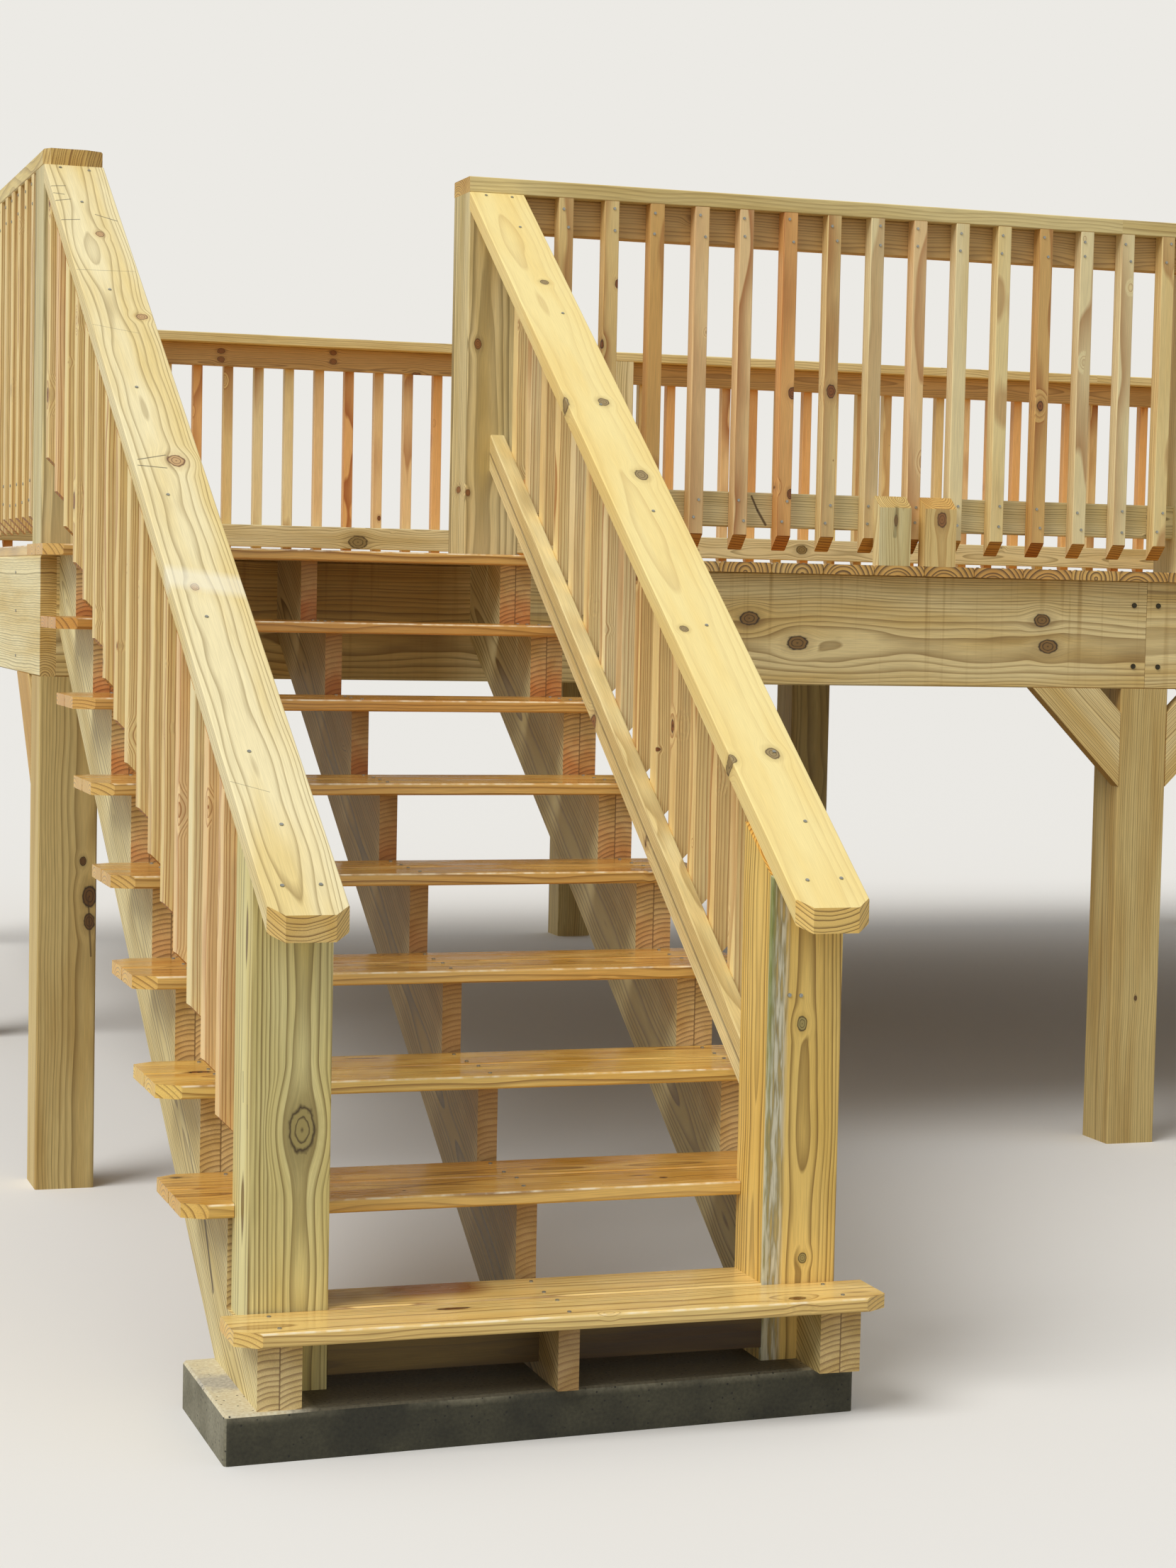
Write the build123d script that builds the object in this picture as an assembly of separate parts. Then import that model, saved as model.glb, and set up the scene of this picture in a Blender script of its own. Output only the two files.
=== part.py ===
from build123d import *
import math
import os

os.makedirs("parts", exist_ok=True)

# Modelled in mm with X to the right along the treads, Y up the stairs from the first nosing, Z up from the
# footing's underside. The saved frame's origin lies ORIGIN_Y further up, under the middle of the footing.
ORIGIN_Y = 235.0

# Lumber sizes as sold.
THICK = 38.1
WIDE = 139.7
NARROW = 88.9
DEEP = 285.75
TREAD_T = 25.4
POST = 139.7
EASE = 3.0
TREAD_EASE = 5.0
BALUSTER_EASE = 2.0

# Stair geometry.
RISE = 164.3
RUN = 257.0
RISERS = 9
FOOTING_H = 85.0
BOARD_GAP = 5.0
NOSING = 32.6
HALF_WIDTH = 543.0
FIRST_TOP = FOOTING_H + RISE - TREAD_T
DECK_TOP = FIRST_TOP + (RISERS - 1) * RISE
DECK_UNDER = DECK_TOP - TREAD_T
LAST_NOSING = (RISERS - 1) * RUN

# Footing: its sides past the stringers, its front left corner, and how far it lies askew.
FOOTING_LEFT = 57.0
FOOTING_RIGHT = 9.0
FOOTING_SETBACK = 18.0
FOOTING_SKEW = 61.0
FOOTING_DEPTH = 373.0
FOOTING_CORNER = 8.0
FOOTING_RIM = 4.0

# Tread ends: overhang past the outer stringer face, and the clipped corners.
FIRST_OVERHANG = 42.0
TREAD_OVERHANG = 84.0
LANDING_LEFT = 78.0
LANDING_RIGHT = 43.0
CLIP_X = 44.0
CLIP_Y = 27.0

# Newels and the railing line, which spreads from the foot to the deck.
NEWEL_FRONT = 142.2
NEWEL_INSET = 5.5
NEWEL_OUT = HALF_WIDTH - NEWEL_INSET
HEAD_SPREAD = 45.0
TOP_NEWEL_OUT = HALF_WIDTH + HEAD_SPREAD
RIM_FRONT = LAST_NOSING + 289.0
RAIL_SETBACK = 5.0
RAIL_FRONT = RIM_FRONT + RAIL_SETBACK
CAP_FOOT_Y = 12.0
CAP_FOOT_HEIGHT = 690.1
GUARD_HEIGHT = 926.2
CAP_FOOT_Z = FIRST_TOP + CAP_FOOT_HEIGHT
DECK_CAP_Z = DECK_TOP + GUARD_HEIGHT
DECK_CAP_UNDER = DECK_CAP_Z - THICK
SLOPE = (DECK_CAP_UNDER - CAP_FOOT_Z) / (RAIL_FRONT - CAP_FOOT_Y)
SPLAY = (TOP_NEWEL_OUT - NEWEL_OUT) / (RAIL_FRONT - CAP_FOOT_Y)
PLUMB = 1 / math.cos(math.atan(SLOPE))
CAP_CLIP = 27.0
RAIL_IN = 63.5
BALUSTER_IN = RAIL_IN + THICK

# Lower raked rail, by its underside above the first tread and above the deck, and the raked balusters.
BASE_FOOT_LIFT = 9.1
BASE_HEAD_LIFT = 207.1
BASE_SLOPE = (DECK_TOP + BASE_HEAD_LIFT - FIRST_TOP - BASE_FOOT_LIFT) / (RAIL_FRONT - CAP_FOOT_Y)
BASE_PLUMB = 1 / math.cos(math.atan(BASE_SLOPE))
STAIR_BALUSTERS = 16
STAIR_PITCH = 125.7
STAIR_BALUSTER_Y = 364.0
STAIR_TIP = 59.0

# Deck: its frame stands on three rows and three columns of posts.
DECK_WIDTH = 6096.0
DECK_DEPTH = 4980.0
DECK_LEFT = -TOP_NEWEL_OUT
DECK_RIGHT = DECK_LEFT + DECK_WIDTH
DECK_BACK = RIM_FRONT + DECK_DEPTH
DECK_OVERHANG = 33.0
BOARD_JOINT = 2.0
POST_BAY = 2866.0
BUTT_OFFSET = 68.0
BUTT_GAP = 1.0
JOIST_BAYS = 12
BRACE_LEG = 262.0
MIDDLE_ROW_SHIFT = 48.0
MID_POST_X = DECK_LEFT + POST_BAY
BUTT_X = MID_POST_X + BUTT_OFFSET

# Deck railing.
FRONT_NEWEL_X = MID_POST_X + 162.0
REAR_NEWEL_X = MID_POST_X + 144.0
DECK_PITCH = 120.1
REAR_PITCH = 126.0
FRONT_BALUSTER_GAP = 90.9
REAR_BALUSTER_GAP = 24.3
DECK_RAIL_LIFT = 90.0
REAR_RAIL_LIFT = 73.0
DECK_TIP = 70.0
SIDE_CAP_CLIP = 40.0
BLOCK_X = (TOP_NEWEL_OUT + 960.0, TOP_NEWEL_OUT + 1088.0)
BLOCK_H = 149.0
BLOCK_BEVEL = 30.0


def box(x0, x1, y0, y1, z0, z1):
    return Pos((x0 + x1) / 2, (y0 + y1) / 2, (z0 + z1) / 2) * Box(x1 - x0, y1 - y0, z1 - z0)


def span(a, b):
    return (a, b) if a < b else (b, a)


def rounded(part, axis, radius=EASE):
    return fillet(part.edges().filter_by(axis), radius)


def eased(part, axis, width=EASE):
    """Arrises taken off flat, for pieces that repeat many times."""
    return chamfer(part.edges().filter_by(axis), width)


def prism(front, back):
    """Solid between two matching point loops."""
    n = len(front)
    faces = [Face(Wire.make_polygon([Vector(*p) for p in loop])) for loop in (front, back)]
    for i in range(n):
        j = (i + 1) % n
        loop = [front[i], front[j], back[j], back[i]]
        faces.append(Face(Wire.make_polygon([Vector(*p) for p in loop])))
    solid = Solid(Shell(faces))
    return solid if solid.volume > 0 else Solid(Shell([-f for f in faces]))


def cap_top(y):
    return CAP_FOOT_Z + SLOPE * (y - CAP_FOOT_Y)


def below_cap(drop):
    return lambda y: cap_top(y) - drop * PLUMB


def above_base(lift):
    return lambda y: FIRST_TOP + BASE_FOOT_LIFT + BASE_SLOPE * (y - CAP_FOOT_Y) + lift * BASE_PLUMB


def rail_x(side, offset, y):
    return side * (NEWEL_OUT - POST + offset + SPLAY * (y - CAP_FOOT_Y))


def raked(side, inner, outer, y0, y1, bottom, top):
    """Splayed member between plumb ends, with its underside and top as lines over y."""
    loops = []
    for offset in (inner, outer):
        x0 = rail_x(side, offset, y0)
        x1 = rail_x(side, offset, y1)
        loops.append([(x0, y0, bottom(y0)), (x1, y1, bottom(y1)), (x1, y1, top(y1)), (x0, y0, top(y0))])
    return prism(*loops)


def extrude_x(points, x0, x1):
    return extrude(Plane.YZ.offset(x0) * make_face(Polyline(*points, close=True)), amount=x1 - x0)


def extrude_y(points, y0, y1):
    profile = make_face(Polyline(*points, close=True))
    return extrude(Plane((0, y0, 0), x_dir=(1, 0, 0), z_dir=(0, -1, 0)) * profile, amount=-(y1 - y0))


def extrude_z(points, z0, z1):
    return extrude(Plane.XY.offset(z0) * make_face(Polyline(*points, close=True)), amount=z1 - z0)


def tread_top(level):
    return FIRST_TOP + (level - 1) * RISE


def along(part):
    """Long raked edges of a member."""
    return part.edges().filter_by(lambda e: e.length > RUN * 3)


def save(name, *solids):
    moved = [Pos(0, -ORIGIN_Y, 0) * solid for solid in solids]
    export_step(Compound(children=moved, label=name), f"parts/{name}.step")


# Footing.
foot_x = (-HALF_WIDTH - FOOTING_LEFT, HALF_WIDTH + FOOTING_RIGHT)
foot_y = (FOOTING_SETBACK, FOOTING_SETBACK + FOOTING_SKEW)
footing = extrude_z([(foot_x[0], foot_y[0]), (foot_x[1], foot_y[1]), (foot_x[1], foot_y[1] + FOOTING_DEPTH),
                     (foot_x[0], foot_y[0] + FOOTING_DEPTH)], 0, FOOTING_H)
footing = fillet(footing.edges().filter_by(Axis.Z), FOOTING_CORNER)
footing = chamfer(footing.faces().sort_by(Axis.Z)[-1].edges(), FOOTING_RIM)
save("concrete_footing", footing)

# Stringers: one sawtooth profile, doubled on the outside and single in the middle.
line_drop = DEEP / math.cos(math.atan(RISE / RUN))
first_under = FIRST_TOP - TREAD_T
saw = [(NOSING, FOOTING_H), (NOSING, first_under)]
for step in range(1, RISERS):
    y = NOSING + step * RUN
    saw.append((y, first_under + (step - 1) * RISE))
    saw.append((y, first_under + step * RISE))
saw.append((RIM_FRONT, DECK_UNDER))
saw.append((RIM_FRONT, first_under + (RIM_FRONT - NOSING) * RISE / RUN - line_drop))
saw.append((NOSING + (FOOTING_H - first_under + line_drop) * RUN / RISE, FOOTING_H))
ply = extrude_x(saw, 0, THICK)
for name, x in (
    ("stringer_left_outer", -HALF_WIDTH),
    ("stringer_left_inner", -HALF_WIDTH + THICK),
    ("stringer_middle", -THICK / 2),
    ("stringer_right_inner", HALF_WIDTH - 2 * THICK),
    ("stringer_right_outer", HALF_WIDTH - THICK),
):
    save(name, Pos(x, 0, 0) * ply)


def tread_board(x0, x1, y0, z_top, clip_front, clip_back):
    y1 = y0 + WIDE
    front = [(x0, y0 + CLIP_Y), (x0 + CLIP_X, y0), (x1 - CLIP_X, y0), (x1, y0 + CLIP_Y)]
    back = [(x1, y1 - CLIP_Y), (x1 - CLIP_X, y1), (x0 + CLIP_X, y1), (x0, y1 - CLIP_Y)]
    points = front if clip_front else [(x0, y0), (x1, y0)]
    points = points + (back if clip_back else [(x1, y1), (x0, y1)])
    return rounded(extrude_z(points, z_top - TREAD_T, z_top), Axis.X, TREAD_EASE)


# Treads of two boards each. The newels pass the first one behind its front board. The second's front board has
# a notch for each newel and ends flush with the right one.
newel_in = NEWEL_OUT - POST
newel_back = NEWEL_FRONT + POST
for level in range(1, RISERS):
    y0 = (level - 1) * RUN
    z = tread_top(level)
    reach = HALF_WIDTH + (FIRST_OVERHANG if level == 1 else TREAD_OVERHANG)
    front = tread_board(-reach, reach, y0, z, True, False)
    rear_reach = newel_in if level == 1 else reach
    rear = tread_board(-rear_reach, rear_reach, y0 + WIDE + BOARD_GAP, z, False, level > 1)
    if level == 2:
        front -= box(-NEWEL_OUT - 1, -newel_in + 1, y0 - 1, newel_back + 1, z - TREAD_T - 1, z + 1)
        front -= box(newel_in - 1, reach + 1, y0 - 1, newel_back + 1, z - TREAD_T - 1, z + 1)
        front -= box(NEWEL_OUT, reach + 1, newel_back, y0 + WIDE + 1, z - TREAD_T - 1, z + 1)
    save(f"tread_{level}", front, rear)

# Level landing boards at the head, between the last riser and the rim.
landing_x = (-HALF_WIDTH - LANDING_LEFT, HALF_WIDTH + LANDING_RIGHT)
landing_front = tread_board(*landing_x, LAST_NOSING, DECK_TOP, True, False)
landing_rear = tread_board(*landing_x, LAST_NOSING + WIDE + BOARD_GAP, DECK_TOP, False, False)
save("landing_boards", landing_front, landing_rear)

# Low board between the newels under the first tread, broken by the middle stringer.
kick = []
for side in (-1, 1):
    x0, x1 = span(side * THICK / 2, side * newel_in)
    kick.append(box(x0, x1, NEWEL_FRONT, NEWEL_FRONT + THICK, first_under - NARROW, first_under))
save("kicker_board", *kick)

# Lower newels: notched over the doubled stringer, sloped top under the cap.
newels = []
cap_under = below_cap(THICK)
for side in (-1, 1):
    x0, x1 = span(side * newel_in, side * NEWEL_OUT)
    post = rounded(box(x0, x1, NEWEL_FRONT, newel_back, FOOTING_H, cap_top(newel_back) + POST), Axis.Z)
    notch = span(side * (HALF_WIDTH - 2 * THICK), side * (NEWEL_OUT + 1))
    post -= box(*notch, NEWEL_FRONT - 1, newel_back + 1, 0, first_under)
    ends = (NEWEL_FRONT - POST, newel_back + POST)
    above = [(ends[0], cap_under(ends[0])), (ends[1], cap_under(ends[1])),
             (ends[1], cap_top(ends[1]) + POST), (ends[0], cap_top(ends[1]) + POST)]
    post -= extrude_x(above, x0 - 1, x1 + 1)
    newels.append(post)
save("lower_newels", *newels)

# Upper newels stand on the deck boards.
newels = []
for side in (-1, 1):
    x = span(side * (TOP_NEWEL_OUT - POST), side * TOP_NEWEL_OUT)
    newels.append(eased(box(*x, RAIL_FRONT, RAIL_FRONT + POST, DECK_TOP, DECK_CAP_UNDER), Axis.Z))
save("upper_newels", *newels)


def stair_cap(side):
    """Raked cap with both lower corners clipped."""
    cap = raked(side, 0, POST, CAP_FOOT_Y, RAIL_FRONT, below_cap(THICK), cap_top)
    low = cap_top(CAP_FOOT_Y) - 2 * POST
    high = cap_top(CAP_FOOT_Y) + 2 * POST
    for offset, inward in ((0, 1), (POST, -1)):
        x = rail_x(side, offset, CAP_FOOT_Y)
        xi = rail_x(side, offset + inward * CAP_CLIP, CAP_FOOT_Y)
        xo = rail_x(side, offset - inward * CAP_CLIP, CAP_FOOT_Y)
        ya = CAP_FOOT_Y - EASE
        yb = CAP_FOOT_Y + CAP_CLIP * 0.8
        cap -= extrude_z([(xi, CAP_FOOT_Y), (x, yb), (xo, yb), (xo, ya), (xi, ya)], low, high)
    return fillet(along(cap), EASE)


def stair_baluster(side, y):
    """Raked railing's baluster: its foot slopes up outwards and its head meets the cap."""
    tip = above_base(0)(y) + STAIR_TIP
    head = cap_top(y + THICK)
    loops = []
    for yy in (y, y + THICK):
        xi = rail_x(side, BALUSTER_IN, yy)
        xo = rail_x(side, POST, yy)
        loops.append([(xi, yy, tip - THICK), (xo, yy, tip), (xo, yy, head), (xi, yy, head)])
    baluster = prism(*loops)
    ends = (y - EASE, y + THICK + EASE)
    above = [(ends[0], cap_under(ends[0])), (ends[1], cap_under(ends[1])),
             (ends[1], head + POST), (ends[0], head + POST)]
    baluster -= extrude_x(above, *span(rail_x(side, 0, y), rail_x(side, 2 * POST, y)))
    return eased(baluster, Axis.Z, BALUSTER_EASE)


# Raked caps, rails and balusters, left and right.
top_rails = []
lower_tops = []
lower_bases = []
for word, side in (("left", -1), ("right", 1)):
    save(f"stair_cap_{word}", stair_cap(side))
    line = (side, RAIL_IN, BALUSTER_IN, newel_back, RAIL_FRONT)
    top_rails.append(chamfer(along(raked(*line, below_cap(THICK + NARROW), cap_under)), EASE))
    lower_tops.append(chamfer(along(raked(*line, above_base(THICK), above_base(2 * THICK))), EASE))
    lower_bases.append(chamfer(along(raked(*line, above_base(0), above_base(THICK))), EASE))
    places = [STAIR_BALUSTER_Y + i * STAIR_PITCH for i in range(STAIR_BALUSTERS)]
    save(f"stair_balusters_{word}", *[stair_baluster(side, y) for y in places if y + THICK < RAIL_FRONT])
save("stair_top_rails", *top_rails)
save("stair_lower_rails_top", *lower_tops)
save("stair_lower_rails_base", *lower_bases)

# Deck frame: rims front and back in two lengths, beams from front to back, and joists between them.
frame_z = (DECK_UNDER - DEEP, DECK_UNDER)
inner_left = DECK_LEFT + THICK
inner_right = DECK_RIGHT - THICK
rim_ends = ((inner_left, BUTT_X - BUTT_GAP / 2), (BUTT_X + BUTT_GAP / 2, inner_right))
for name, y in (("rim_beam", RIM_FRONT), ("rear_beam", DECK_BACK - THICK)):
    save(name, *[eased(box(*x, y, y + THICK, *frame_z), Axis.X) for x in rim_ends])
side_beams = [box(x, x + THICK, RIM_FRONT, DECK_BACK, *frame_z) for x in (DECK_LEFT, inner_right)]
save("side_beams", *[eased(beam, Axis.Y) for beam in side_beams])
centre_x = (BUTT_X - THICK / 2, BUTT_X + THICK / 2)
centre_beam = box(*centre_x, RIM_FRONT + THICK, DECK_BACK - THICK, *frame_z)
save("centre_beam", eased(centre_beam, Axis.Y))
joists = []
for k in range(1, JOIST_BAYS):
    y = RIM_FRONT + k * (DECK_DEPTH - THICK) / JOIST_BAYS
    for x in ((inner_left, centre_x[0]), (centre_x[1], inner_right)):
        joists.append(box(*x, y, y + THICK, *frame_z))
save("deck_joists", *[eased(joist, Axis.X) for joist in joists])

# Deck boards run back from the front edge, and start behind the landing boards where these lie.
decking = []
x = DECK_LEFT
while x < DECK_RIGHT - NARROW / 2:
    x1 = min(x + WIDE, DECK_RIGHT)
    y0 = RIM_FRONT if x1 <= landing_x[1] else RIM_FRONT - DECK_OVERHANG
    board = eased(box(x, x1, y0, DECK_BACK, DECK_UNDER, DECK_TOP), Axis.Y)
    if x < landing_x[1] < x1:
        board -= box(x - 1, landing_x[1] + BOARD_JOINT, y0 - 1, RIM_FRONT, DECK_UNDER - 1, DECK_TOP + 1)
    decking.append(board)
    x += WIDE + BOARD_JOINT
save("deck_boards", *decking)

# Posts under the frame.
post_top = DECK_UNDER - DEEP
post_columns = (DECK_LEFT, MID_POST_X, DECK_RIGHT - POST)
post_rows = (RIM_FRONT, (RIM_FRONT + DECK_BACK - POST) / 2, DECK_BACK - POST)


def posts(y, columns):
    return [eased(box(x, x + POST, y, y + POST, 0, post_top), Axis.Z) for x in columns]


middle_row = (DECK_LEFT, MID_POST_X + MIDDLE_ROW_SHIFT, DECK_RIGHT - POST)
save("front_posts", *posts(post_rows[0], post_columns))
save("back_posts", *posts(post_rows[1], middle_row), *posts(post_rows[2], post_columns))


def brace(face, way):
    """Outline of a 45 degree brace from a post's face to the frame's underside."""
    across = WIDE * math.sqrt(2)
    return [(face + way * BRACE_LEG, post_top), (face + way * (BRACE_LEG - across), post_top),
            (face, post_top - (BRACE_LEG - across)), (face, post_top - BRACE_LEG)]


# Knee braces beside the outer posts and on both sides of the middle ones, but none where the stairs are.
braces = []
for y, with_left in ((RIM_FRONT, False), (DECK_BACK - THICK, True)):
    for column, x in enumerate(post_columns):
        if column > 0:
            braces.append(extrude_y(brace(x, -1), y, y + THICK))
        if column == 1 or (column == 0 and with_left):
            braces.append(extrude_y(brace(x + POST, 1), y, y + THICK))
for x in (DECK_LEFT, inner_right):
    braces.append(extrude_x(brace(RIM_FRONT + POST, 1), x, x + THICK))
    braces.append(extrude_x(brace(DECK_BACK - POST, -1), x, x + THICK))
save("knee_braces", *braces)

# Deck railing: outer faces, and newels at the corners and between them.
rail_back = DECK_BACK - RAIL_SETBACK
corner_right = DECK_RIGHT - POST
side_newel_y = post_rows[1]
rear_newel_y = rail_back - POST
newel_places = [(corner_right, RAIL_FRONT), (FRONT_NEWEL_X, RAIL_FRONT), (REAR_NEWEL_X, rear_newel_y),
                (DECK_LEFT, rear_newel_y), (corner_right, rear_newel_y),
                (DECK_LEFT, side_newel_y), (corner_right, side_newel_y)]
save("deck_newels", *[eased(box(x, x + POST, y, y + POST, DECK_TOP, DECK_CAP_UNDER), Axis.Z)
                      for x, y in newel_places])

cap_z = (DECK_CAP_UNDER, DECK_CAP_Z)
front_cap = box(TOP_NEWEL_OUT - POST, DECK_RIGHT, RAIL_FRONT, RAIL_FRONT + POST, *cap_z)
rear_cap = box(DECK_LEFT, DECK_RIGHT, rear_newel_y, rail_back, *cap_z)
save("deck_cap_front", rounded(front_cap, Axis.X))
save("deck_cap_rear", eased(rear_cap, Axis.X))
x0, x1 = DECK_LEFT, DECK_LEFT + POST
clip = SIDE_CAP_CLIP
points = [(x0, RAIL_FRONT + clip * 0.6), (x0 + clip * 0.4, RAIL_FRONT), (x1 - clip, RAIL_FRONT),
          (x1, RAIL_FRONT + clip * 0.5), (x1, rear_newel_y), (x0, rear_newel_y)]
left_cap = eased(extrude_z(points, *cap_z), Axis.Y)
right_cap = eased(box(corner_right, DECK_RIGHT, RAIL_FRONT + POST, rear_newel_y, *cap_z), Axis.Y)
save("deck_side_caps", left_cap, right_cap)

# Spans between newels: along the front and back in x, and along the sides in y.
front_spans = ((TOP_NEWEL_OUT, FRONT_NEWEL_X), (FRONT_NEWEL_X + POST, corner_right))
rear_spans = ((DECK_LEFT + POST, REAR_NEWEL_X), (REAR_NEWEL_X + POST, corner_right))
side_spans = ((RAIL_FRONT + POST, side_newel_y), (side_newel_y + POST, rear_newel_y))
front_rail_y = (RAIL_FRONT + THICK, RAIL_FRONT + 2 * THICK)
rear_rail_y = (rail_back - 2 * THICK, rail_back - THICK)
side_rail_x = ((DECK_LEFT + THICK, DECK_LEFT + 2 * THICK), (DECK_RIGHT - 2 * THICK, DECK_RIGHT - THICK))
top_z = DECK_CAP_UNDER - NARROW
for name, front_z, rear_z in (("deck_top_rails", top_z, top_z),
                              ("deck_lower_rails", DECK_TOP + DECK_RAIL_LIFT, DECK_TOP + REAR_RAIL_LIFT)):
    rails = [eased(box(*x, *front_rail_y, front_z, front_z + NARROW), Axis.X) for x in front_spans]
    rails += [eased(box(*x, *rear_rail_y, rear_z, rear_z + NARROW), Axis.X) for x in rear_spans]
    rails += [eased(box(*x, *y, front_z, front_z + NARROW), Axis.Y) for x in side_rail_x for y in side_spans]
    save(name, *rails)


def places(ends, gap, pitch):
    """Near edges of the balusters in a span, the first one gap past its start."""
    count = math.floor((ends[1] - ends[0] - gap - THICK - TREAD_EASE) / pitch) + 1
    return [ends[0] + gap + k * pitch for k in range(count)]


def foot_profile(face, way):
    """Baluster's outline across its railing, from its outer face inwards, with the foot sloping up outwards."""
    inner = face + way * THICK
    return [(face, DECK_TOP + DECK_TIP), (inner, DECK_TOP + DECK_TIP - THICK),
            (inner, DECK_CAP_UNDER), (face, DECK_CAP_UNDER)]


def row_across(outline, edges):
    return [eased(extrude_x(outline, x, x + THICK), Axis.Z, BALUSTER_EASE) for x in edges]


def row_along(outline, edges):
    return [eased(extrude_y(outline, y, y + THICK), Axis.Z, BALUSTER_EASE) for y in edges]


def even_gap(ends, pitch):
    """Gap that leaves the same space at both ends of a span."""
    clear = ends[1] - ends[0] - THICK
    return (clear - math.floor((clear - THICK) / pitch) * pitch) / 2


front_edges = places(front_spans[0], FRONT_BALUSTER_GAP, DECK_PITCH)
front_edges += places(front_spans[1], even_gap(front_spans[1], DECK_PITCH), DECK_PITCH)
save("deck_balusters_front", *row_across(foot_profile(RAIL_FRONT, 1), front_edges))
rear_edges = places(rear_spans[0], REAR_BALUSTER_GAP, REAR_PITCH)
rear_edges += places(rear_spans[1], even_gap(rear_spans[1], REAR_PITCH), REAR_PITCH)
save("deck_balusters_rear", *row_across(foot_profile(rail_back, -1), rear_edges))
side_edges = [y for ends in side_spans for y in places(ends, even_gap(ends, DECK_PITCH), DECK_PITCH)]
for word, face, way in (("left", DECK_LEFT, 1), ("right", DECK_RIGHT, -1)):
    save(f"deck_balusters_{word}", *row_along(foot_profile(face, way), side_edges))

# Two short blocks stand on the deck boards' ends against the balusters.
blocks = []
for x in BLOCK_X:
    points = [(RAIL_FRONT - THICK, DECK_TOP), (RAIL_FRONT, DECK_TOP),
              (RAIL_FRONT, DECK_TOP + BLOCK_H + BLOCK_BEVEL), (RAIL_FRONT - THICK, DECK_TOP + BLOCK_H)]
    blocks.append(extrude_x(points, x, x + NARROW))
save("edge_blocks", *blocks)
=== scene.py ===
import bpy
import math
import random
from mathutils import Matrix, Vector


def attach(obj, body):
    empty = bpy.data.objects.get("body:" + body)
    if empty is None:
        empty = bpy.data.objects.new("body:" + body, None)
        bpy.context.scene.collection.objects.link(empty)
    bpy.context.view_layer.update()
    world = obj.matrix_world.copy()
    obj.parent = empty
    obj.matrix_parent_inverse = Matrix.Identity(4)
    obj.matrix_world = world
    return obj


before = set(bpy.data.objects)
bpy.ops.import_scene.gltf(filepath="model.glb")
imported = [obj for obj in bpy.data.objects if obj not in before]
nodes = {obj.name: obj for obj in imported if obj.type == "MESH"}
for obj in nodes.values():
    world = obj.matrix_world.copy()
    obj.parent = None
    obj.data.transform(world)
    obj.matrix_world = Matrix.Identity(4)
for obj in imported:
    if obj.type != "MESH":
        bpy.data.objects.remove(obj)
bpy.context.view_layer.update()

mm = 0.001
print("frame loaded")


def linear(hexColour):
    parts = [int(hexColour[i:i + 2], 16) / 255 for i in (1, 3, 5)]
    return tuple(c / 12.92 if c <= 0.04045 else ((c + 0.055) / 1.055) ** 2.4 for c in parts) + (1,)


# sets or links a node's inputs, told in their order or by name; "From" and "To" take both ends of a range
def feed(node, inputs):
    sockets = [socket for socket in node.inputs if socket.enabled]
    for key, value in inputs.items() if isinstance(inputs, dict) else enumerate(inputs):
        if key in ("From", "To"):
            feed(node, {f"{key} Min": value[0], f"{key} Max": value[1]})
            continue
        socket = sockets[key] if isinstance(key, int) else next(i for i in sockets if i.name == key)
        if isinstance(value, bpy.types.NodeSocket):
            node.id_data.links.new(value, socket)
        else:
            socket.default_value = linear(value) if isinstance(value, str) else value


# adds one shader node with its settings, links and colour stops; a mix is of colours unless told otherwise
def add(tree, kind, inputs=(), out=None, stops=(), **settings):
    made = tree.nodes.new("ShaderNode" + kind)
    if kind == "Mix":
        made.data_type = "RGBA"
    for name, value in settings.items():
        setattr(made, name, value)
    for i, (at, colour) in enumerate(stops):
        elements = made.color_ramp.elements
        stop = elements[0] if i == 0 else elements[-1] if i == len(stops) - 1 else elements.new(at)
        stop.position, stop.color = at, colour
    feed(made, inputs)
    return made.outputs[out] if out else next((i for i in made.outputs if i.enabled), None)


def newMaterial(name):
    material = bpy.data.materials.new(name)
    material.use_nodes = True
    return material, material.node_tree, material.node_tree.nodes["Principled BSDF"]


# the camera's focal length and picture width are in pixels, its sensor in mm, the rest in metres and radians
camera = {"at": (-1.5807, -4.97869, 1.45136), "yaw": 0.321967, "pitch": 0.064029, "roll": 0.021216,
          "focal": 4200.489, "width": 1659, "sensor": 36, "sees": 200}


def addCamera(s):
    yaw, pitch, roll = s["yaw"], s["pitch"], s["roll"]
    ahead = Vector((math.sin(yaw) * math.cos(pitch), math.cos(yaw) * math.cos(pitch), -math.sin(pitch)))
    level = Vector((math.cos(yaw), -math.sin(yaw), 0))
    down = ahead.cross(level)
    right = level * math.cos(roll) - down * math.sin(roll)
    down = level * math.sin(roll) + down * math.cos(roll)
    data = bpy.data.cameras.new("camera")
    data.sensor_fit = "HORIZONTAL"
    data.sensor_width = s["sensor"]
    data.lens = s["sensor"] * s["focal"] / s["width"]
    data.clip_end = s["sees"]
    cam = bpy.data.objects.new("camera", data)
    bpy.context.scene.collection.objects.link(cam)
    turn = Matrix((right, -down, -ahead)).transposed()
    cam.matrix_world = Matrix.Translation(s["at"]) @ turn.to_4x4()
    bpy.context.scene.camera = cam


# soft daylight from the upper left, over a plain pale floor that runs into the backdrop
studio = {"sky": 0.5, "sun": 2, "toSun": (-0.60, -0.27, 0.78), "softness": 0.6, "backdrop": "#eceae5",
          "floorBounce": "#a39c8e", "floorSize": 120, "floorRoughness": 0.9, "floorSpecular": 0.1}


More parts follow.
